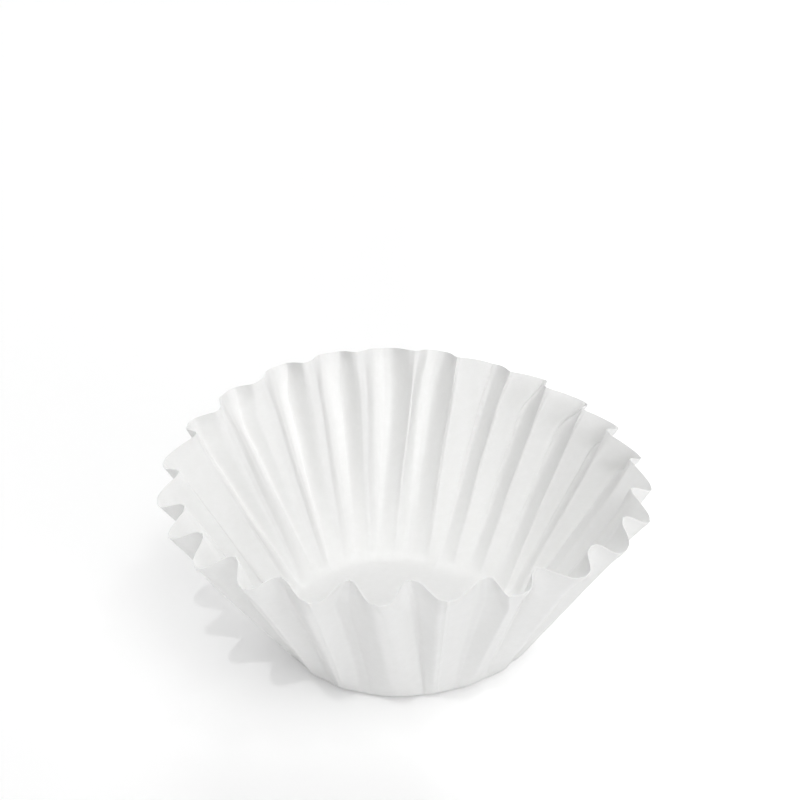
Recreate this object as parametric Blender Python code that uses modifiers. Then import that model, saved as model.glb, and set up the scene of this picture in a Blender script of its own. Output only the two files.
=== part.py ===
"""A paper basket filter for a drip coffee maker.

One round sheet of soft paper is pressed into a cup: a flat round floor, and a wall of 24 pleats.
Each pleat is four strips of the sheet: a crest, the fall to its valley, the valley, and the rise to
the next crest. The paper doesn't stretch, so the wall measures the same along every fold from the
floor to the rim. A crest leans out further and ends lower, and a valley stands steeper and ends
higher, which scallops the rim. The pleats of a filter taken from its stack are uneven, and the
table below holds each pleat's own widths, leans and foot.

Metres, +Z up. The origin is on the underside of the floor, at its middle.
"""

from collections import namedtuple
from math import cos, pi, radians, sin

import bmesh
import bpy
from mathutils import Vector

# Sizes of the sheet and of the cup
SHEET_DIAMETER = 0.2159
FLOOR_DIAMETER = 0.0762
PAPER_THICKNESS = 0.0002
CORNER_REACH = 0.0024
PRESS_OFFSET = 0.0008

# The sheet's seam is joined within this share of the paper's thickness
SEAM_SHARE = 0.05

# Angles of the wall above the floor, and how far a lean of 1 in the table turns one
CREST_ANGLE = radians(59)
VALLEY_ANGLE = radians(66)
LEAN_SPREAD = radians(5)

# The middle of the first crest, round the cup anticlockwise from +X
FIRST_CREST_TURN = radians(95)

# A soft fold's reach either side of its line, in pleats and at most in strips, and the crown
# of a crest or valley, as a share of the pleat's depth
FOLD_REACH_SHARE = 0.07
STRIP_REACH_SHARE = 0.3
CROWN_SHARE = 0.05

# How far a crest and a valley are tilted below the rim, in depths of the pleat, and how far up
# the folds are straight
CREST_TILT_SHARE = 0.15
VALLEY_TILT_SHARE = 0.15
KNEE_SHARE = 0.8

# Rows of points: over the soft corner, and up the wall as shares of its slant
CORNER_ROWS = 3
WALL_ROW_SHARES = (0.4, 0.8, 0.87, 0.94, 1.0)

Pleat = namedtuple("Pleat", "crest fall valley rise crest_lean valley_lean foot_shift floor_reach")
Fold = namedtuple("Fold", "turn angle aside tilt foot_aside")
Line = namedtuple("Line", "foot_turn turn foot_radius angle aside tilt")

# One line for each pleat, anticlockwise:
# widths of the crest, the fall, the valley and the rise at the rim, lean of the crest and of the
# valley, how far the crest's foot is turned on (in pleats), and the floor's radius at that foot
PLEAT_SHARES = (
    (0.30, 0.30, 0.20, 0.10, 0.1, 0.3, 0.35, 0.97),
    (0.40, 0.35, 0.25, 0.05, 0.1, 0.6, 0.25, 0.99),
    (0.40, 0.50, 0.30, 0.10, 0.4, 0.6, 0.15, 1.00),
    (0.40, 0.50, 0.20, 0.10, 0.8, 0.6, -0.45, 1.00),
    (0.35, 0.25, 0.15, 0.40, 0.7, 0.3, -0.80, 1.02),
    (0.30, 0.25, 0.15, 0.25, 0.2, -0.3, -0.70, 1.02),
    (0.35, 0.20, 0.20, 0.20, -0.3, -0.6, -0.55, 1.00),
    (0.20, 0.25, 0.20, 0.20, -0.6, -0.7, -0.55, 0.99),
    (0.25, 0.25, 0.20, 0.25, -0.6, -0.5, -0.50, 1.00),
    (0.25, 0.25, 0.20, 0.35, -0.2, -0.4, -0.45, 1.01),
    (0.30, 0.30, 0.15, 0.30, 0.2, 0.3, -0.40, 1.02),
    (0.35, 0.20, 0.25, 0.30, 0.5, 0.4, 0.15, 1.00),
    (0.25, 0.50, 0.20, 0.10, 0.6, 0.1, 0.45, 1.00),
    (0.40, 0.20, 0.15, 0.40, 0.3, -0.1, 0.60, 1.02),
    (0.30, 0.20, 0.25, 0.15, 0.0, -0.4, 0.60, 1.06),
    (0.35, 0.25, 0.20, 0.15, -0.1, -0.5, 0.60, 1.09),
    (0.20, 0.30, 0.15, 0.15, -0.3, -0.4, 0.45, 1.08),
    (0.20, 0.40, 0.10, 0.10, -0.1, -0.4, 0.30, 1.06),
    (0.15, 0.40, 0.20, 0.15, 0.3, 0.2, 0.20, 1.05),
    (0.15, 0.40, 0.10, 0.25, 0.5, 0.3, 0.20, 1.01),
    (0.20, 0.45, 0.15, 0.35, 0.6, 0.4, 0.25, 0.95),
    (0.15, 0.35, 0.10, 0.50, 0.2, 0.1, 0.20, 0.91),
    (0.20, 0.40, 0.10, 0.30, -0.1, 0.2, 0.25, 0.88),
    (0.35, 0.10, 0.20, 0.35, 0.1, 0.3, 0.25, 0.95),
)

# How far aside of the straight the four folds of each pleat run below the rim, and then how far
# their feet are turned on, both in pleats and anticlockwise
LOWER_SHARES = (
    (0.03, -0.05, -0.03, 0.04, 0.17, 0.04, 0.05, 0.16),
    (0.09, 0.01, 0.00, 0.10, 0.15, 0.08, 0.18, 0.22),
    (0.09, 0.01, 0.12, 0.10, 0.09, 0.00, 0.09, 0.15),
    (0.01, 0.04, 0.09, 0.06, 0.25, 0.30, 0.28, 0.14),
    (0.07, 0.09, 0.07, 0.04, 0.10, 0.10, 0.07, 0.04),
    (0.02, 0.01, 0.00, 0.00, 0.02, 0.00, 0.00, 0.00),
    (0.00, 0.00, 0.00, 0.00, 0.00, 0.00, 0.00, 0.00),
    (0.00, 0.00, 0.00, 0.00, 0.00, 0.00, 0.00, 0.00),
    (0.00, 0.00, 0.01, 0.01, 0.00, 0.00, 0.01, 0.01),
    (0.03, 0.03, 0.03, 0.00, 0.02, 0.04, 0.04, 0.02),
    (-0.08, -0.25, 0.09, 0.06, -0.06, -0.22, 0.21, 0.18),
    (0.12, 0.10, 0.05, 0.02, 0.41, 0.31, 0.14, -0.04),
    (0.04, 0.08, 0.13, 0.17, -0.07, -0.06, -0.08, -0.10),
    (0.13, 0.08, 0.04, 0.01, -0.08, -0.05, -0.02, -0.01),
    (0.00, -0.01, -0.01, 0.00, 0.00, 0.00, 0.00, 0.00),
    (0.00, 0.01, 0.01, 0.01, 0.00, 0.00, 0.00, -0.01),
    (-0.01, -0.03, -0.08, -0.13, -0.02, -0.02, -0.03, -0.01),
    (-0.19, -0.19, -0.03, 0.41, 0.03, 0.14, 0.30, 0.52),
    (0.33, 0.01, -0.11, 0.43, 0.46, 0.23, 0.15, 0.25),
    (0.35, 0.03, 0.00, 0.46, 0.17, -0.21, -0.24, -0.01),
    (0.34, 0.04, -0.03, 0.31, 0.06, 0.05, 0.03, 0.07),
    (0.26, 0.11, 0.09, 0.05, 0.09, 0.12, 0.15, 0.14),
    (0.00, -0.02, 0.01, 0.14, 0.07, 0.01, 0.04, 0.20),
    (0.06, 0.04, -0.08, -0.11, 0.22, 0.19, 0.20, 0.25),
)

PAPER_COLOUR = (0.86, 0.86, 0.85, 1)
PAPER_ROUGHNESS = 0.92


def mix(start, end, share):
    return start + (end - start) * share


def pleats():
    """Every pleat with its widths and foot shift in radians and its leans as angles."""
    rows = [Pleat(*shares) for shares in PLEAT_SHARES]
    whole = sum(row.crest + row.fall + row.valley + row.rise for row in rows)
    unit = 2 * pi / whole
    return [
        Pleat(
            unit * row.crest,
            unit * row.fall,
            unit * row.valley,
            unit * row.rise,
            CREST_ANGLE + LEAN_SPREAD * row.crest_lean,
            VALLEY_ANGLE + LEAN_SPREAD * row.valley_lean,
            unit * row.foot_shift,
            FLOOR_DIAMETER / 2 * row.floor_reach,
        )
        for row in rows
    ]


def folds():
    """The four folds of every pleat, anticlockwise from the first crest's fall."""
    found = []
    every_pleat = pleats()
    pleat_width = 2 * pi / len(PLEAT_SHARES)
    edge = FIRST_CREST_TURN - every_pleat[0].crest / 2
    for number, pleat in enumerate(every_pleat):
        following = every_pleat[(number + 1) % len(every_pleat)]
        depth = pleat.valley_lean - pleat.crest_lean
        angles = (pleat.crest_lean, pleat.valley_lean, pleat.valley_lean, following.crest_lean)
        tilts = (CREST_TILT_SHARE, VALLEY_TILT_SHARE, -VALLEY_TILT_SHARE, -CREST_TILT_SHARE)
        asides = LOWER_SHARES[number]
        for place, strip in enumerate((pleat.crest, pleat.fall, pleat.valley, pleat.rise)):
            edge += strip
            aside = pleat_width * asides[place]
            foot_aside = pleat_width * asides[place + 4]
            found.append(Fold(edge, angles[place], aside, depth * tilts[place], foot_aside))
    return found


def blend(start, end, share):
    return Fold(*(mix(a, b, share) for a, b in zip(start, end)))


def soft_fold(before, fold, after):
    """The lines either side of a fold, as far off as its reach into each strip."""
    strips = (fold.turn - before.turn, after.turn - fold.turn)
    pleat_width = 2 * pi / len(PLEAT_SHARES)
    reach = min(FOLD_REACH_SHARE * pleat_width, STRIP_REACH_SHARE * min(strips))
    return [blend(fold, before, reach / strips[0]), blend(fold, after, reach / strips[1])]


def pleat_lines(around):
    """The lines across a pleat, given its four folds and one more either side.

    Each fold has a line either side, and the crest and the valley have one in the middle, which
    stands out by the crown.
    """
    bends = [soft_fold(*around[place : place + 3]) for place in range(4)]
    crown = CROWN_SHARE * (around[2].angle - around[1].angle)
    start = blend(around[0], around[1], 0.5)
    valley = blend(around[2], around[3], 0.5)
    lines = [start._replace(angle=start.angle - crown)]
    lines += bends[0] + bends[1]
    lines.append(valley._replace(angle=valley.angle + crown))
    lines += bends[2] + bends[3]
    return lines + [blend(around[4], around[5], 0.5)]


def rim_point(turn, foot_radius, angle):
    slant = (SHEET_DIAMETER - FLOOR_DIAMETER) / 2 + PRESS_OFFSET * sin(turn)
    reach = foot_radius + slant * cos(angle)
    return Vector((reach * cos(turn), reach * sin(turn), slant * sin(angle)))


def pleat_columns(pleat, following, lines):
    """The lines of one pleat with their feet, which share the floor's edge as the rim is shared."""
    first = lines[0].turn
    last = lines[-1].turn
    shares = [(line.turn - first) / (last - first) for line in lines]
    radii = [mix(pleat.floor_reach, following.floor_reach, share) for share in shares]
    points = [rim_point(line.turn, radius, line.angle) for line, radius in zip(lines, radii)]
    steps = [(end - start).length for start, end in zip(points, points[1:])]
    foot = first + pleat.foot_shift
    next_foot = last + following.foot_shift
    found = []
    for place, line in enumerate(lines[:-1]):
        foot_turn = mix(foot, next_foot, sum(steps[:place]) / sum(steps)) + line.foot_aside
        found.append(Line(foot_turn, line.turn, radii[place], line.angle, line.aside, line.tilt))
    return found


def columns():
    """Every line of points up the wall, once round."""
    found = []
    every_pleat = pleats()
    every_fold = folds()
    before = every_fold[-1]._replace(turn=every_fold[-1].turn - 2 * pi)
    after = every_fold[0]._replace(turn=every_fold[0].turn + 2 * pi)
    chain = [before] + every_fold + [after]
    for number, pleat in enumerate(every_pleat):
        following = every_pleat[(number + 1) % len(every_pleat)]
        lines = pleat_lines(chain[4 * number : 4 * number + 6])
        found += pleat_columns(pleat, following, lines)
    return found


def foot_of(line):
    return Vector((line.foot_radius * cos(line.foot_turn), line.foot_radius * sin(line.foot_turn), 0))


def wall_point(line, climb):
    """The point that is a share, climb, of the way up a line that runs aside until it nears the rim."""
    over = min(max((climb - KNEE_SHARE) / (1 - KNEE_SHARE), 0), 1)
    left = 1 - over * over * (3 - 2 * over)
    top = rim_point(line.turn + left * line.aside, line.foot_radius, line.angle + left * line.tilt)
    return foot_of(line).lerp(top, climb)


def corner_point(line, share):
    """A point of the soft bend, whose share runs from 0 on the floor to 1 on the wall."""
    corner = foot_of(line)
    on_floor = corner - corner.normalized() * CORNER_REACH
    up_wall = wall_point(line, KNEE_SHARE) - corner
    on_wall = corner + up_wall.normalized() * CORNER_REACH
    return on_floor.lerp(corner, share).lerp(corner.lerp(on_wall, share), share)


def sheet_rows(line):
    bend = [corner_point(line, row / CORNER_ROWS) for row in range(CORNER_ROWS + 1)]
    return bend + [wall_point(line, share) for share in WALL_ROW_SHARES]


def paper_material():
    material = bpy.data.materials.new("white_paper")
    material.use_nodes = True
    shader = material.node_tree.nodes["Principled BSDF"]
    shader.inputs["Base Color"].default_value = PAPER_COLOUR
    shader.inputs["Roughness"].default_value = PAPER_ROUGHNESS
    shader.inputs["Metallic"].default_value = 0
    return material


def pleated_sheet():
    """The underside of the paper as one open surface: a grid wrapped round the cup, and the floor."""
    placed = [sheet_rows(line) for line in columns()]
    across = len(placed)
    up = len(placed[0]) - 1
    seam_reach = PAPER_THICKNESS * SEAM_SHARE
    mesh = bmesh.new()
    bmesh.ops.create_grid(mesh, x_segments=across, y_segments=up, size=1)
    for vertex in mesh.verts:
        column = round((vertex.co.x + 1) / 2 * across) % across
        row = round((vertex.co.y + 1) / 2 * up)
        vertex.co = placed[column][row]
    bmesh.ops.remove_doubles(mesh, verts=mesh.verts, dist=seam_reach)
    floor_edge = [edge for edge in mesh.edges if edge.is_boundary and edge.verts[0].co.z < seam_reach]
    bmesh.ops.edgeloop_fill(mesh, edges=floor_edge)
    bmesh.ops.recalc_face_normals(mesh, faces=mesh.faces)
    data = bpy.data.meshes.new("paper_filter")
    mesh.to_mesh(data)
    mesh.free()
    return data


def build():
    for item in list(bpy.data.objects):
        bpy.data.objects.remove(item)
    collection = bpy.data.collections.new("basket_filter")
    bpy.context.scene.collection.children.link(collection)
    paper = bpy.data.objects.new("paper_filter", pleated_sheet())
    collection.objects.link(paper)
    paper.data.materials.append(paper_material())
    paper.data.shade_smooth()
    thickness = paper.modifiers.new("thickness", "SOLIDIFY")
    thickness.thickness = PAPER_THICKNESS
    thickness.offset = -1
    thickness.use_quality_normals = True


build()
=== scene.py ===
"""The looks of a paper basket filter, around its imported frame.

The paper is one fine mesh of the same sheet as the part: a flat round floor and 24 uneven pleats,
here with soft folds, a dent and the slight waves of thin paper. At the front the pleats are drawn
to two slopes below the rim. A fibrous, slightly translucent white paper material, a white floor,
the studio lamps and the camera follow.
"""

from collections import namedtuple
from math import cos, exp, pi, radians, sin

import bmesh
import bpy
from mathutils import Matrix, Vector, noise


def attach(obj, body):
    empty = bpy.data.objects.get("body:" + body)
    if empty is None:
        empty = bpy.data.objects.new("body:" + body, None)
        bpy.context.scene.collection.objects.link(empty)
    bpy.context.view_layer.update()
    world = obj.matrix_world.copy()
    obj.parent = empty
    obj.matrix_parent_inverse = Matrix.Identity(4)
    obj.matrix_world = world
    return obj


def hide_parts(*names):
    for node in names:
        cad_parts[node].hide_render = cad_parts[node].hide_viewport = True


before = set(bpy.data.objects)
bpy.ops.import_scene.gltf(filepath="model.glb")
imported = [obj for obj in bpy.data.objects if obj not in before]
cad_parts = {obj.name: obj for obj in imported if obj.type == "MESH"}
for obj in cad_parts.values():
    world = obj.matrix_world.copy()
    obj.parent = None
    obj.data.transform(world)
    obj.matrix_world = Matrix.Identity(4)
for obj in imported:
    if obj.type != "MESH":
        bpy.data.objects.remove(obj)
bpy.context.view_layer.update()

# Sizes of the sheet and of the cup, in metres, as in the part, and how far off the sheet's middle
# the floor is pressed
SHEET_DIAMETER = 0.2159
FLOOR_DIAMETER = 0.0762
PAPER_THICKNESS = 0.0002
PRESS_OFFSET = 0.0008

# The reach of the soft bend at the floor's edge, which is wider than the part's, and how near
# the points of the sheet's seam lie
CORNER_REACH = 0.0034
SEAM_REACH = 0.00001

# Angles of the wall above the floor, and how far a lean of 1 in the table turns one
CREST_ANGLE = radians(59)
VALLEY_ANGLE = radians(66)
LEAN_SPREAD = radians(5)
FIRST_CREST_TURN = radians(95)

# A soft fold's reach either side of its line, in pleats, and at most as a share of the narrower
# strip beside it
FOLD_REACH_SHARE = 0.09
STRIP_REACH_SHARE = 0.35

# How far the middle of a crest or a valley stands out, in depths of the pleat
CROWN_SHARE = 0.05

# How far a crest and a valley are tilted below the rim, in depths of the pleat, and the same
# where a pleat is drawn to two slopes
CREST_TILT_SHARE = 0.15
VALLEY_TILT_SHARE = 0.15
ZIGZAG_TILT_SHARE = 0.45

# How far up a fold runs straight, before it turns to its place at the rim
KNEE_SHARE = 0.8

# How much deeper a valley is pressed just above the floor, the same where a pleat is drawn to
# two slopes, and the share of the way up in which the pressing comes in
PRESS_DEPTH = 0.0008
ZIGZAG_PRESS_DEPTH = 0.0026
PRESS_RISE_SHARE = 0.14

# How many points each stretch of the sheet gets, and the floor's rings as shares of its radius
FOLD_POINTS = 5
FLAT_POINTS = 4
SLOPE_POINTS = 5
CORNER_ROWS = 6
WALL_ROWS = 34
FLOOR_ROW_SHARES = (0.45, 0.8, 0.94)

# Waves of the thin paper: depth and length of each
WAVES = ((0.00035, 0.021), (0.00014, 0.0085))

# How far the folds wander sideways, over what length, and the depth of a dent whose push is 1
WANDER = 0.0004
WANDER_LENGTH = 0.03
DENT_DEPTH = 0.001

# Edges of the sheet sharper than this are shaded as sharp: those of the cut rim
RIM_SHARPNESS = radians(60)

Pleat = namedtuple("Pleat", "crest fall valley rise crest_lean valley_lean foot_shift floor_reach")
Fold = namedtuple("Fold", "turn angle aside tilt foot_aside")
Line = namedtuple("Line", "foot_turn turn foot_radius angle aside tilt place press")
Dent = namedtuple("Dent", "place climb half_width half_height push")

# One line for each pleat, anticlockwise:
# widths of the crest, the fall, the valley and the rise at the rim, lean of the crest and of the
# valley, how far the crest's foot is turned on (in pleats), and the floor's radius at that foot
PLEAT_SHARES = (
    (0.30, 0.30, 0.20, 0.10, 0.1, 0.3, 0.35, 0.97),
    (0.40, 0.35, 0.25, 0.05, 0.1, 0.6, 0.25, 0.99),
    (0.40, 0.50, 0.30, 0.10, 0.4, 0.6, 0.15, 1.00),
    (0.40, 0.50, 0.20, 0.10, 0.8, 0.6, -0.45, 1.00),
    (0.35, 0.25, 0.15, 0.40, 0.7, 0.3, -0.80, 1.02),
    (0.30, 0.25, 0.15, 0.25, 0.2, -0.3, -0.70, 1.02),
    (0.35, 0.20, 0.20, 0.20, -0.3, -0.6, -0.55, 1.00),
    (0.20, 0.25, 0.20, 0.20, -0.6, -0.7, -0.55, 0.99),
    (0.25, 0.25, 0.20, 0.25, -0.6, -0.5, -0.50, 1.00),
    (0.25, 0.25, 0.20, 0.35, -0.2, -0.4, -0.45, 1.01),
    (0.30, 0.30, 0.15, 0.30, 0.2, 0.3, -0.40, 1.02),
    (0.35, 0.20, 0.25, 0.30, 0.5, 0.4, 0.15, 1.00),
    (0.25, 0.50, 0.20, 0.10, 0.6, 0.1, 0.45, 1.00),
    (0.40, 0.20, 0.15, 0.40, 0.3, -0.1, 0.60, 1.02),
    (0.30, 0.20, 0.25, 0.15, 0.0, -0.4, 0.60, 1.06),
    (0.35, 0.25, 0.20, 0.15, -0.1, -0.5, 0.60, 1.09),
    (0.20, 0.30, 0.15, 0.15, -0.3, -0.4, 0.45, 1.08),
    (0.20, 0.40, 0.10, 0.10, -0.1, -0.4, 0.30, 1.06),
    (0.15, 0.40, 0.20, 0.15, 0.3, 0.2, 0.20, 1.05),
    (0.15, 0.40, 0.10, 0.25, 0.5, 0.3, 0.20, 1.01),
    (0.20, 0.45, 0.15, 0.35, 0.6, 0.4, 0.25, 0.95),
    (0.15, 0.35, 0.10, 0.50, 0.2, 0.1, 0.20, 0.91),
    (0.20, 0.40, 0.10, 0.30, -0.1, 0.2, 0.25, 0.88),
    (0.35, 0.10, 0.20, 0.35, 0.1, 0.3, 0.25, 0.95),
)

# How far aside of the straight the four folds of each pleat run below the rim, and then how far
# their feet are turned on, both in pleats and anticlockwise
LOWER_SHARES = (
    (0.03, -0.05, -0.03, 0.04, 0.17, 0.04, 0.05, 0.16),
    (0.09, 0.01, 0.00, 0.10, 0.15, 0.08, 0.18, 0.22),
    (0.09, 0.01, 0.12, 0.10, 0.09, 0.00, 0.09, 0.15),
    (0.01, 0.04, 0.09, 0.06, 0.25, 0.30, 0.28, 0.14),
    (0.07, 0.09, 0.07, 0.04, 0.10, 0.10, 0.07, 0.04),
    (0.02, 0.01, 0.00, 0.00, 0.02, 0.00, 0.00, 0.00),
    (0.00, 0.00, 0.00, 0.00, 0.00, 0.00, 0.00, 0.00),
    (0.00, 0.00, 0.00, 0.00, 0.00, 0.00, 0.00, 0.00),
    (0.00, 0.00, 0.01, 0.01, 0.00, 0.00, 0.01, 0.01),
    (0.03, 0.03, 0.03, 0.00, 0.02, 0.04, 0.04, 0.02),
    (-0.08, -0.25, 0.09, 0.06, -0.06, -0.22, 0.21, 0.18),
    (0.12, 0.10, 0.05, 0.02, 0.41, 0.31, 0.14, -0.04),
    (0.04, 0.08, 0.13, 0.17, -0.07, -0.06, -0.08, -0.10),
    (0.13, 0.08, 0.04, 0.01, -0.08, -0.05, -0.02, -0.01),
    (0.00, -0.01, -0.01, 0.00, 0.00, 0.00, 0.00, 0.00),
    (0.00, 0.01, 0.01, 0.01, 0.00, 0.00, 0.00, -0.01),
    (-0.01, -0.03, -0.08, -0.13, -0.02, -0.02, -0.03, -0.01),
    (-0.19, -0.19, -0.03, 0.41, 0.03, 0.14, 0.30, 0.52),
    (0.33, 0.01, -0.11, 0.43, 0.46, 0.23, 0.15, 0.25),
    (0.35, 0.03, 0.00, 0.46, 0.17, -0.21, -0.24, -0.01),
    (0.34, 0.04, -0.03, 0.31, 0.06, 0.05, 0.03, 0.07),
    (0.26, 0.11, 0.09, 0.05, 0.09, 0.12, 0.15, 0.14),
    (0.00, -0.02, 0.01, 0.14, 0.07, 0.01, 0.04, 0.20),
    (0.06, 0.04, -0.08, -0.11, 0.22, 0.19, 0.20, 0.25),
)

# How far each pleat is drawn from a flat crest and valley to two slopes below the rim
ZIGZAG_SHARES = (0, 0, 0, 0, 0, 0, 0, 0, 0.3, 0.6, 1, 1, 1, 1, 1, 1, 0.8, 0.4, 0, 0, 0, 0, 0, 0)

# Dents and bulges seen in the photograph: pleat and share across it, share of the way up the wall,
# half width in pleats, half height, and push outward
DENT_SHARES = ((11.45, 0.62, 0.18, 0.25, 0.6),)


def mix(start, end, share):
    return start + (end - start) * share


def link(item):
    bpy.context.scene.collection.objects.link(item)
    return item


def pleats():
    """Every pleat with its widths and foot shift in radians and its leans as angles."""
    rows = [Pleat(*shares) for shares in PLEAT_SHARES]
    whole = sum(row.crest + row.fall + row.valley + row.rise for row in rows)
    unit = 2 * pi / whole
    return [
        Pleat(
            unit * row.crest,
            unit * row.fall,
            unit * row.valley,
            unit * row.rise,
            CREST_ANGLE + LEAN_SPREAD * row.crest_lean,
            VALLEY_ANGLE + LEAN_SPREAD * row.valley_lean,
            unit * row.foot_shift,
            FLOOR_DIAMETER / 2 * row.floor_reach,
        )
        for row in rows
    ]


def folds():
    """The four folds of every pleat, anticlockwise from the first crest's fall."""
    found = []
    every_pleat = pleats()
    pleat_width = 2 * pi / len(PLEAT_SHARES)
    edge = FIRST_CREST_TURN - every_pleat[0].crest / 2
    for number, pleat in enumerate(every_pleat):
        following = every_pleat[(number + 1) % len(every_pleat)]
        depth = pleat.valley_lean - pleat.crest_lean
        angles = (pleat.crest_lean, pleat.valley_lean, pleat.valley_lean, following.crest_lean)
        zigzag = ZIGZAG_SHARES[number]
        tilts = (
            mix(CREST_TILT_SHARE, ZIGZAG_TILT_SHARE, zigzag),
            mix(VALLEY_TILT_SHARE, 0, zigzag),
            mix(-VALLEY_TILT_SHARE, -ZIGZAG_TILT_SHARE, zigzag),
            mix(-CREST_TILT_SHARE, 0, zigzag),
        )
        asides = LOWER_SHARES[number]
        for place, strip in enumerate((pleat.crest, pleat.fall, pleat.valley, pleat.rise)):
            edge += strip
            aside = pleat_width * asides[place]
            foot_aside = pleat_width * asides[place + 4]
            found.append(Fold(edge, angles[place], aside, depth * tilts[place], foot_aside))
    return found


def blend(start, end, share):
    return Fold(*(mix(a, b, share) for a, b in zip(start, end)))


def soft_fold(before, fold, after):
    """Lines of a fold, rounded over its reach into the strips either side."""
    strips = (fold.turn - before.turn, after.turn - fold.turn)
    pleat_width = 2 * pi / len(PLEAT_SHARES)
    reach = min(FOLD_REACH_SHARE * pleat_width, STRIP_REACH_SHARE * min(strips))
    start = blend(fold, before, reach / strips[0])
    end = blend(fold, after, reach / strips[1])
    shares = [step / (FOLD_POINTS - 1) for step in range(FOLD_POINTS)]
    return [blend(blend(start, fold, share), blend(fold, end, share), share) for share in shares]


def strip_lines(start, end, points, crown, first_share, last_share):
    """Lines inside a strip, or inside half of one, which stands out by the crown in its middle."""
    lines = []
    for step in range(1, points):
        line = blend(start, end, step / points)
        share = mix(first_share, last_share, step / points)
        lines.append(line._replace(angle=line.angle + crown * sin(pi * share)))
    return lines


def pleat_lines(around):
    """The lines across a pleat, given its four folds and one more either side."""
    bends = [soft_fold(*around[place : place + 3]) for place in range(4)]
    crown = CROWN_SHARE * (around[2].angle - around[1].angle)
    middle = blend(around[0], around[1], 0.5)
    lines = [middle._replace(angle=middle.angle - crown)]
    lines += strip_lines(middle, bends[0][0], FLAT_POINTS, -crown, 0.5, 1)
    lines += bends[0] + strip_lines(bends[0][-1], bends[1][0], SLOPE_POINTS, 0, 0, 1)
    lines += bends[1] + strip_lines(bends[1][-1], bends[2][0], FLAT_POINTS, crown, 0, 1)
    lines += bends[2] + strip_lines(bends[2][-1], bends[3][0], SLOPE_POINTS, 0, 0, 1)
    ending = blend(around[4], around[5], 0.5)
    lines += bends[3] + strip_lines(bends[3][-1], ending, FLAT_POINTS, -crown, 0, 0.5)
    return lines + [ending]


def rim_point(turn, foot_radius, angle):
    """The rim's point on a line, whose length up the wall is what the sheet leaves."""
    slant = (SHEET_DIAMETER - FLOOR_DIAMETER) / 2 + PRESS_OFFSET * sin(turn)
    reach = foot_radius + slant * cos(angle)
    return Vector((reach * cos(turn), reach * sin(turn), slant * sin(angle)))


def pleat_columns(number, pleat, following, lines):
    """The lines of one pleat with their feet, which share the floor's edge as the rim is shared."""
    first = lines[0].turn
    last = lines[-1].turn
    shares = [(line.turn - first) / (last - first) for line in lines]
    radii = [mix(pleat.floor_reach, following.floor_reach, share) for share in shares]
    points = [rim_point(line.turn, radius, line.angle) for line, radius in zip(lines, radii)]
    steps = [(end - start).length for start, end in zip(points, points[1:])]
    foot = first + pleat.foot_shift
    next_foot = last + following.foot_shift
    found = []
    for place, line in enumerate(lines[:-1]):
        foot_turn = mix(foot, next_foot, sum(steps[:place]) / sum(steps)) + line.foot_aside
        across = number + shares[place]
        crest = mix(pleat.crest_lean, following.crest_lean, shares[place])
        inward = min(max((line.angle + line.tilt - crest) / (pleat.valley_lean - crest), 0), 1)
        next_zigzag = ZIGZAG_SHARES[number % len(ZIGZAG_SHARES)]
        zigzag = mix(ZIGZAG_SHARES[number - 1], next_zigzag, shares[place])
        press = inward * mix(PRESS_DEPTH, ZIGZAG_PRESS_DEPTH, zigzag)
        shape = (radii[place], line.angle, line.aside, line.tilt)
        found.append(Line(foot_turn, line.turn, *shape, across, press))
    return found


def columns():
    """Every line of points up the wall, once round."""
    found = []
    every_pleat = pleats()
    every_fold = folds()
    before = every_fold[-1]._replace(turn=every_fold[-1].turn - 2 * pi)
    after = every_fold[0]._replace(turn=every_fold[0].turn + 2 * pi)
    chain = [before] + every_fold + [after]
    for number, pleat in enumerate(every_pleat):
        following = every_pleat[(number + 1) % len(every_pleat)]
        lines = pleat_lines(chain[4 * number : 4 * number + 6])
        found += pleat_columns(number + 1, pleat, following, lines)
    return found


def foot_of(line):
    """The point on the floor's edge where a line starts."""
    radius = line.foot_radius
    return Vector((radius * cos(line.foot_turn), radius * sin(line.foot_turn), 0))


def dented(line, climb):
    """How far the dents push the wall out here, in metres."""
    push = 0
    for dent in (Dent(*shares) for shares in DENT_SHARES):
        apart = abs(line.place - dent.place)
        across = min(apart, len(PLEAT_SHARES) - apart) / dent.half_width
        up = (climb - dent.climb) / dent.half_height
        push += dent.push * DENT_DEPTH * exp(-across * across - up * up)
    return push


def pressed(line, climb):
    """How far the pressing brings the wall in here, in metres: none at the foot or the rim."""
    return line.press * (1 - climb) * (1 - exp(-climb / PRESS_RISE_SHARE))


def wavy(point, climb):
    """How far the paper's own waves push it out here: none at the foot, most at the rim."""
    return climb * sum(depth * noise.noise(point / length) for depth, length in WAVES)


def straight_point(line, climb):
    """The point a share, climb, of the way up a line that runs aside until it nears the rim."""
    over = min(max((climb - KNEE_SHARE) / (1 - KNEE_SHARE), 0), 1)
    left = 1 - over * over * (3 - 2 * over)
    top = rim_point(line.turn + left * line.aside, line.foot_radius, line.angle + left * line.tilt)
    return foot_of(line).lerp(top, climb)


def wall_point(line, climb):
    """The same point with the paper's waves and dents."""
    plain = straight_point(line, climb)
    level = sin(line.angle)
    outward = Vector((level * cos(line.turn), level * sin(line.turn), -cos(line.angle)))
    sideways = Vector((-sin(line.turn), cos(line.turn), 0))
    aside = WANDER * sin(pi * climb) * noise.noise(plain.zxy / WANDER_LENGTH)
    push = dented(line, climb) + wavy(plain, climb) - pressed(line, climb)
    return plain + outward * push + sideways * aside


def corner_point(line, share):
    """A point of the soft bend, whose share runs from 0 on the floor to 1 on the wall."""
    corner = foot_of(line)
    on_floor = corner - corner.normalized() * CORNER_REACH
    slant = (wall_point(line, 1) - corner).length
    on_wall = wall_point(line, CORNER_REACH / slant)
    return on_floor.lerp(corner, share).lerp(corner.lerp(on_wall, share), share)


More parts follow.
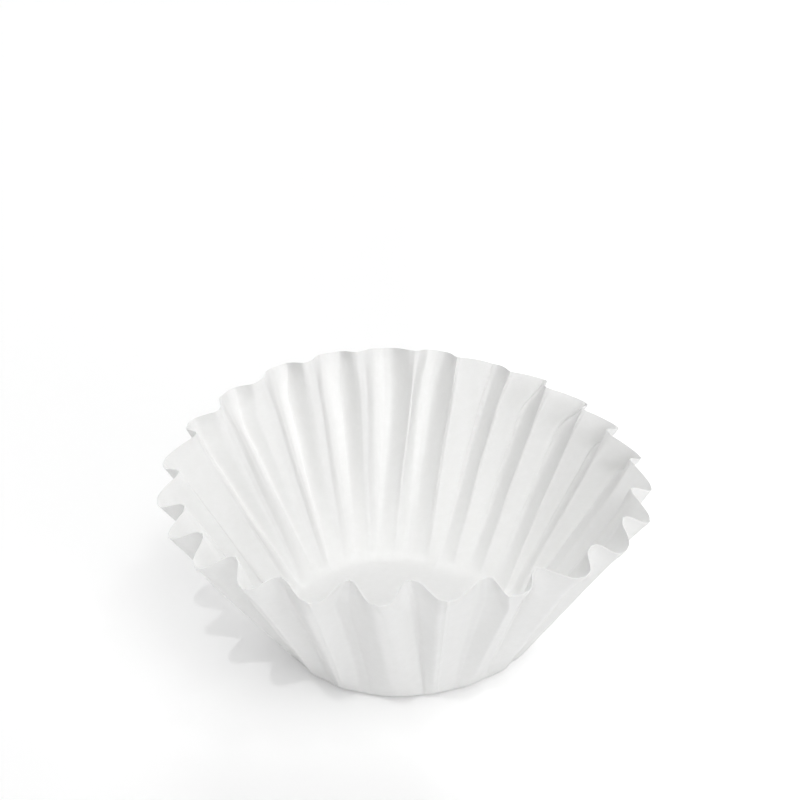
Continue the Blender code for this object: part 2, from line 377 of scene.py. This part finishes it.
def sheet_rows(line):
    """The points of one line, from near the floor's middle to the rim."""
    edge = corner_point(line, 0)
    slant = (rim_point(line.turn, line.foot_radius, line.angle) - foot_of(line)).length
    start = CORNER_REACH / slant
    rows = [edge * share for share in FLOOR_ROW_SHARES]
    rows += [corner_point(line, row / CORNER_ROWS) for row in range(CORNER_ROWS + 1)]
    rows += [wall_point(line, mix(start, 1, row / WALL_ROWS)) for row in range(1, WALL_ROWS + 1)]
    return rows


def pleated_sheet():
    """The underside of the paper as one open surface: a grid wrapped round the cup, and the floor.

    Its faces look down and out, so that the thickness goes up and in.
    """
    placed = [sheet_rows(line) for line in columns()]
    across = len(placed)
    up = len(placed[0]) - 1
    mesh = bmesh.new()
    bmesh.ops.create_grid(mesh, x_segments=across, y_segments=up, size=1)
    inner_edge = []
    for vertex in mesh.verts:
        column = round((vertex.co.x + 1) / 2 * across) % across
        row = round((vertex.co.y + 1) / 2 * up)
        vertex.co = placed[column][row]
        if row == 0:
            inner_edge.append(vertex)
    bmesh.ops.remove_doubles(mesh, verts=mesh.verts, dist=SEAM_REACH)
    inside = set(vertex for vertex in inner_edge if vertex.is_valid)
    floor_edge = [edge for edge in mesh.edges if inside.issuperset(edge.verts)]
    middle = bmesh.ops.edgeloop_fill(mesh, edges=floor_edge)["faces"][0]
    bmesh.ops.recalc_face_normals(mesh, faces=mesh.faces)
    if middle.normal.z > 0:
        bmesh.ops.reverse_faces(mesh, faces=mesh.faces)
    data = bpy.data.meshes.new("pleated_paper")
    mesh.to_mesh(data)
    mesh.free()
    return data


def pleated_paper():
    """The sheet with its thickness, as one object."""
    paper = link(bpy.data.objects.new("pleated_paper", pleated_sheet()))
    paper.data.shade_smooth()
    thickness = paper.modifiers.new("thickness", "SOLIDIFY")
    thickness.thickness = PAPER_THICKNESS
    thickness.offset = -1
    thickness.use_quality_normals = True
    crisp = paper.modifiers.new("crisp_rim", "EDGE_SPLIT")
    crisp.split_angle = RIM_SHARPNESS
    return paper


# Paper: cloudy fibres, seen as a faint mottle and as a fine bump
CLOUD_SIZE = 0.0028
FIBRE_SIZE = 0.0005
FIBRE_STRETCH = 5
FIBRE_TURNS = ((0.4, 0.9, 0.3), (1.9, 0.2, 1.4))
NOISE_DETAIL = 4
NOISE_ROUGHNESS = 0.6
FIBRE_HEIGHT = 0.00005
FIBRE_BUMP = 0.6

# The paper's colours, and the mottle's values at which it is darkest and lightest
PAPER_LIGHT = (0.88, 0.88, 0.875, 1)
PAPER_DARK = (0.86, 0.86, 0.853, 1)
DARK_MOTTLE = 0.2
LIGHT_MOTTLE = 0.4

# Matt paper, and how much light passes into it and how far
PAPER_ROUGHNESS = 0.92
PAPER_GLOSS = 0.2
PAPER_GLOW = 0.5
PAPER_GLOW_REACH = 0.0004


def noise_node(nodes, links, coords, size, stretch, turn):
    """A noise texture of this grain size, stretched along one turned direction."""
    mapping = nodes.new("ShaderNodeMapping")
    mapping.inputs["Rotation"].default_value = turn
    mapping.inputs["Scale"].default_value = (1 / stretch, 1, 1)
    texture = nodes.new("ShaderNodeTexNoise")
    texture.inputs["Scale"].default_value = 1 / size
    texture.inputs["Detail"].default_value = NOISE_DETAIL
    texture.inputs["Roughness"].default_value = NOISE_ROUGHNESS
    links.new(coords.outputs["Object"], mapping.inputs["Vector"])
    links.new(mapping.outputs["Vector"], texture.inputs["Vector"])
    return texture


def mixed_node(nodes, links, kind, first, second):
    """A maths node of this kind between two values."""
    node = nodes.new("ShaderNodeMath")
    node.operation = kind
    links.new(first, node.inputs[0])
    links.new(second, node.inputs[1])
    return node


def paper_material():
    """White paper whose clouds and two crossing fibre grains vary its colour and its surface."""
    material = bpy.data.materials.new("fibrous_paper")
    material.use_nodes = True
    nodes = material.node_tree.nodes
    links = material.node_tree.links
    shader = nodes["Principled BSDF"]
    coords = nodes.new("ShaderNodeTexCoord")
    clouds = noise_node(nodes, links, coords, CLOUD_SIZE, 1, (0, 0, 0))
    along = noise_node(nodes, links, coords, FIBRE_SIZE, FIBRE_STRETCH, FIBRE_TURNS[0])
    across = noise_node(nodes, links, coords, FIBRE_SIZE, FIBRE_STRETCH, FIBRE_TURNS[1])
    fibres = mixed_node(nodes, links, "MAXIMUM", along.outputs["Fac"], across.outputs["Fac"])
    mottle = mixed_node(nodes, links, "MULTIPLY", clouds.outputs["Fac"], fibres.outputs["Value"])
    ramp = nodes.new("ShaderNodeValToRGB")
    ramp.color_ramp.elements[0].position = DARK_MOTTLE
    ramp.color_ramp.elements[0].color = PAPER_DARK
    ramp.color_ramp.elements[1].position = LIGHT_MOTTLE
    ramp.color_ramp.elements[1].color = PAPER_LIGHT
    links.new(mottle.outputs["Value"], ramp.inputs["Fac"])
    links.new(ramp.outputs["Color"], shader.inputs["Base Color"])
    bump = nodes.new("ShaderNodeBump")
    bump.inputs["Strength"].default_value = FIBRE_BUMP
    bump.inputs["Distance"].default_value = FIBRE_HEIGHT
    links.new(mottle.outputs["Value"], bump.inputs["Height"])
    links.new(bump.outputs["Normal"], shader.inputs["Normal"])
    shader.inputs["Roughness"].default_value = PAPER_ROUGHNESS
    shader.inputs["Specular IOR Level"].default_value = PAPER_GLOSS
    shader.inputs["Subsurface Weight"].default_value = PAPER_GLOW
    shader.inputs["Subsurface Radius"].default_value = (1, 1, 1)
    shader.inputs["Subsurface Scale"].default_value = PAPER_GLOW_REACH
    return material


# The floor's side in metres, and its white for the light's rays
FLOOR_SIDE = 6
FLOOR_WHITE = 0.9

# What the camera sees of the floor: a share of its light and a lift, together just white in the
# open, so that the shadow stays
FLOOR_SEEN = 0.7
FLOOR_LIFT = 0.295

# Painted light: the greater lift on the right, where the floor glows to the camera over the
# lamps' shadow, as the photograph shows no shadow there, and where along X it starts and is whole
PAINTED_LIGHT_LIFT = 0.5
PAINTED_LIGHT_START = 0
PAINTED_LIGHT_END = 0.05

# The world's light on the set
WORLD_STRENGTH = 0.005


def seen_level(nodes, links, level, seen):
    """A number for the light's rays, and another for what the camera sees."""
    path = nodes.new("ShaderNodeLightPath")
    choice = nodes.new("ShaderNodeMapRange")
    choice.inputs["To Min"].default_value = level
    choice.inputs["To Max"].default_value = seen
    links.new(path.outputs["Is Camera Ray"], choice.inputs["Value"])
    return choice.outputs["Result"]


def floor_material():
    """A white floor that keeps the filter's shadow, with painted light that washes it out on the
    right.
    """
    material = bpy.data.materials.new("floor_white")
    material.use_nodes = True
    nodes = material.node_tree.nodes
    links = material.node_tree.links
    shader = nodes["Principled BSDF"]
    links.new(seen_level(nodes, links, FLOOR_WHITE, FLOOR_SEEN), shader.inputs["Base Color"])
    shader.inputs["Roughness"].default_value = 1
    shader.inputs["Specular IOR Level"].default_value = 0
    shader.inputs["Emission Color"].default_value = (1, 1, 1, 1)
    coords = nodes.new("ShaderNodeTexCoord")
    across = nodes.new("ShaderNodeSeparateXYZ")
    links.new(coords.outputs["Object"], across.inputs["Vector"])
    # Painted light: the camera's lift grows towards +X, so the floor glows over the shadow on the
    # right
    lift = nodes.new("ShaderNodeMapRange")
    lift.interpolation_type = "SMOOTHSTEP"
    lift.inputs["From Min"].default_value = PAINTED_LIGHT_START
    lift.inputs["From Max"].default_value = PAINTED_LIGHT_END
    lift.inputs["To Min"].default_value = FLOOR_LIFT
    lift.inputs["To Max"].default_value = PAINTED_LIGHT_LIFT
    links.new(across.outputs["X"], lift.inputs["Value"])
    camera_only = seen_level(nodes, links, 0, 1)
    glow = mixed_node(nodes, links, "MULTIPLY", lift.outputs["Result"], camera_only)
    links.new(glow.outputs["Value"], shader.inputs["Emission Strength"])
    return material


def floor():
    mesh = bmesh.new()
    bmesh.ops.create_grid(mesh, x_segments=1, y_segments=1, size=FLOOR_SIDE / 2)
    data = bpy.data.meshes.new("studio_floor")
    mesh.to_mesh(data)
    mesh.free()
    ground = link(bpy.data.objects.new("studio_floor", data))
    ground.data.materials.append(floor_material())
    return ground


def white_world():
    """Plain fill light all round, and white where the camera sees past the floor."""
    world = bpy.data.worlds.new("studio_white")
    bpy.context.scene.world = world
    world.use_nodes = True
    nodes = world.node_tree.nodes
    links = world.node_tree.links
    backdrop = nodes["Background"]
    backdrop.inputs["Color"].default_value = (1, 1, 1, 1)
    rays = nodes.new("ShaderNodeLightPath").outputs
    seen = mixed_node(nodes, links, "MAXIMUM", rays["Is Camera Ray"], rays["Is Glossy Ray"])
    through = rays["Is Transmission Ray"]
    clear = mixed_node(nodes, links, "MAXIMUM", seen.outputs["Value"], through)
    strength = nodes.new("ShaderNodeMapRange")
    strength.inputs["To Min"].default_value = WORLD_STRENGTH
    strength.inputs["To Max"].default_value = 1
    links.new(clear.outputs["Value"], strength.inputs["Value"])
    links.new(strength.outputs["Result"], backdrop.inputs["Strength"])


# Lamps: turn round the filter from +X, height above the floor and width in degrees, and strength.
# The first two cast the scalloped shadows in front and to the left, and the rest are soft.
Lamp = namedtuple("Lamp", "name turn height width strength")
SOFT_WIDTH = 28
LAMPS = (
    Lamp("front_key", 258.5, 63, 1.5, 0.15),
    Lamp("right_high", 342.5, 65.5, 3, 0.04),
    Lamp("front_high_soft", 285, 63, SOFT_WIDTH, 0.19),
    Lamp("right_high_soft", 315, 63, SOFT_WIDTH, 0.158),
    Lamp("back_high_soft", 90, 63, SOFT_WIDTH, 0.03),
    Lamp("back_soft", 90, 38, SOFT_WIDTH, 0.21),
    Lamp("back_left_soft", 135, 38, SOFT_WIDTH, 0.106),
    Lamp("left_soft", 183, 38, SOFT_WIDTH, 0.094),
    Lamp("front_soft", 270, 38, SOFT_WIDTH, 0.062),
    Lamp("right_front_soft", 315, 38, SOFT_WIDTH, 0.093),
    Lamp("right_low", 0, 12, SOFT_WIDTH, 0.054),
    Lamp("back_right_low", 45, 12, SOFT_WIDTH, 0.28),
    Lamp("back_low", 90, 12, SOFT_WIDTH, 0.193),
    Lamp("front_low", 268, 12, SOFT_WIDTH, 0.105),
    Lamp("right_front_low", 315, 12, SOFT_WIDTH, 0.12),
)


def lamp(spec):
    """A far lamp on the filter and the floor, whose strength is how white a white face becomes."""
    data = bpy.data.lights.new(spec.name, "SUN")
    data.angle = radians(spec.width)
    data.energy = pi * spec.strength
    item = link(bpy.data.objects.new(spec.name, data))
    turn = radians(spec.turn)
    height = radians(spec.height)
    away = Vector((cos(turn) * cos(height), sin(turn) * cos(height), sin(height)))
    item.location = away
    item.rotation_euler = away.to_track_quat("Z", "Y").to_euler()
    return item


# The camera, fitted to the photograph: its distance from the floor's middle, its height as an
# angle, its tilt below level, its place along X and its lens in millimetres
CAMERA_DISTANCE = 0.7
CAMERA_HEIGHT = radians(37.5)
CAMERA_TILT = radians(31.57)
CAMERA_ASIDE = -0.0005
CAMERA_LENS = 96.885


def camera():
    data = bpy.data.cameras.new("photo_camera")
    data.lens = CAMERA_LENS
    item = link(bpy.data.objects.new("photo_camera", data))
    item.location = (
        CAMERA_ASIDE,
        -CAMERA_DISTANCE * cos(CAMERA_HEIGHT),
        CAMERA_DISTANCE * sin(CAMERA_HEIGHT),
    )
    item.rotation_euler = (pi / 2 - CAMERA_TILT, 0, 0)
    bpy.context.scene.camera = item


def dress():
    """The paper in place of the part's solid, and the studio round it."""
    paper = pleated_paper()
    paper.data.materials.append(paper_material())
    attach(paper, "root")
    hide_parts("paper_filter")
    floor()
    white_world()
    for spec in LAMPS:
        lamp(spec)
    camera()
    bpy.context.scene.view_settings.view_transform = "Standard"


dress()
